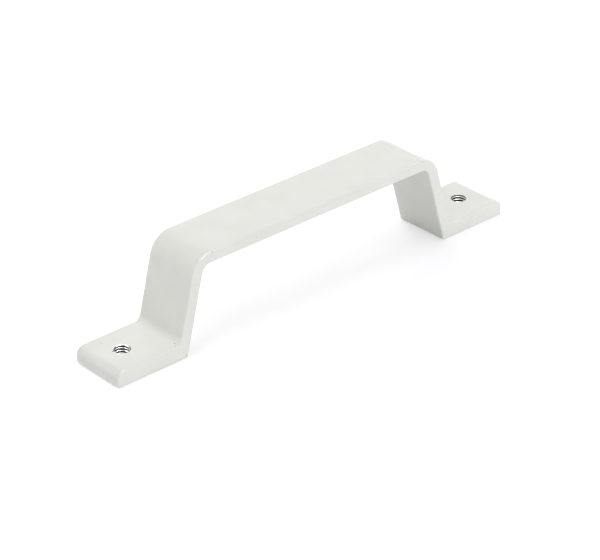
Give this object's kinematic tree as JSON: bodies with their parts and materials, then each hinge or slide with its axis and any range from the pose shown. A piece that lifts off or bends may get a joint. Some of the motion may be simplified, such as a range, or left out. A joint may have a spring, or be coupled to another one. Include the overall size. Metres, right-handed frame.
{
  "type": "bridge pull handle",
  "caption": "Bridge-shaped pull handle of flat section with leaning legs and flat feet, each foot tapped through for a screw.",
  "frame": {"origin": "on the mounting face, midway between the two screw holes", "axes": "+X along the grip, +Y across it, +Z away from the panel the handle is screwed to"},
  "size_m": [0.17, 0.0216, 0.0344],
  "materials": {
    "light_grey_powder_coat": "satin powder coat on aluminium",
    "bare_tapped_aluminium": "machined thread, uncoated"
  },
  "bodies": {
    "root": {"bridge_handle": "light_grey_powder_coat"}
  },
  "joints": []
}
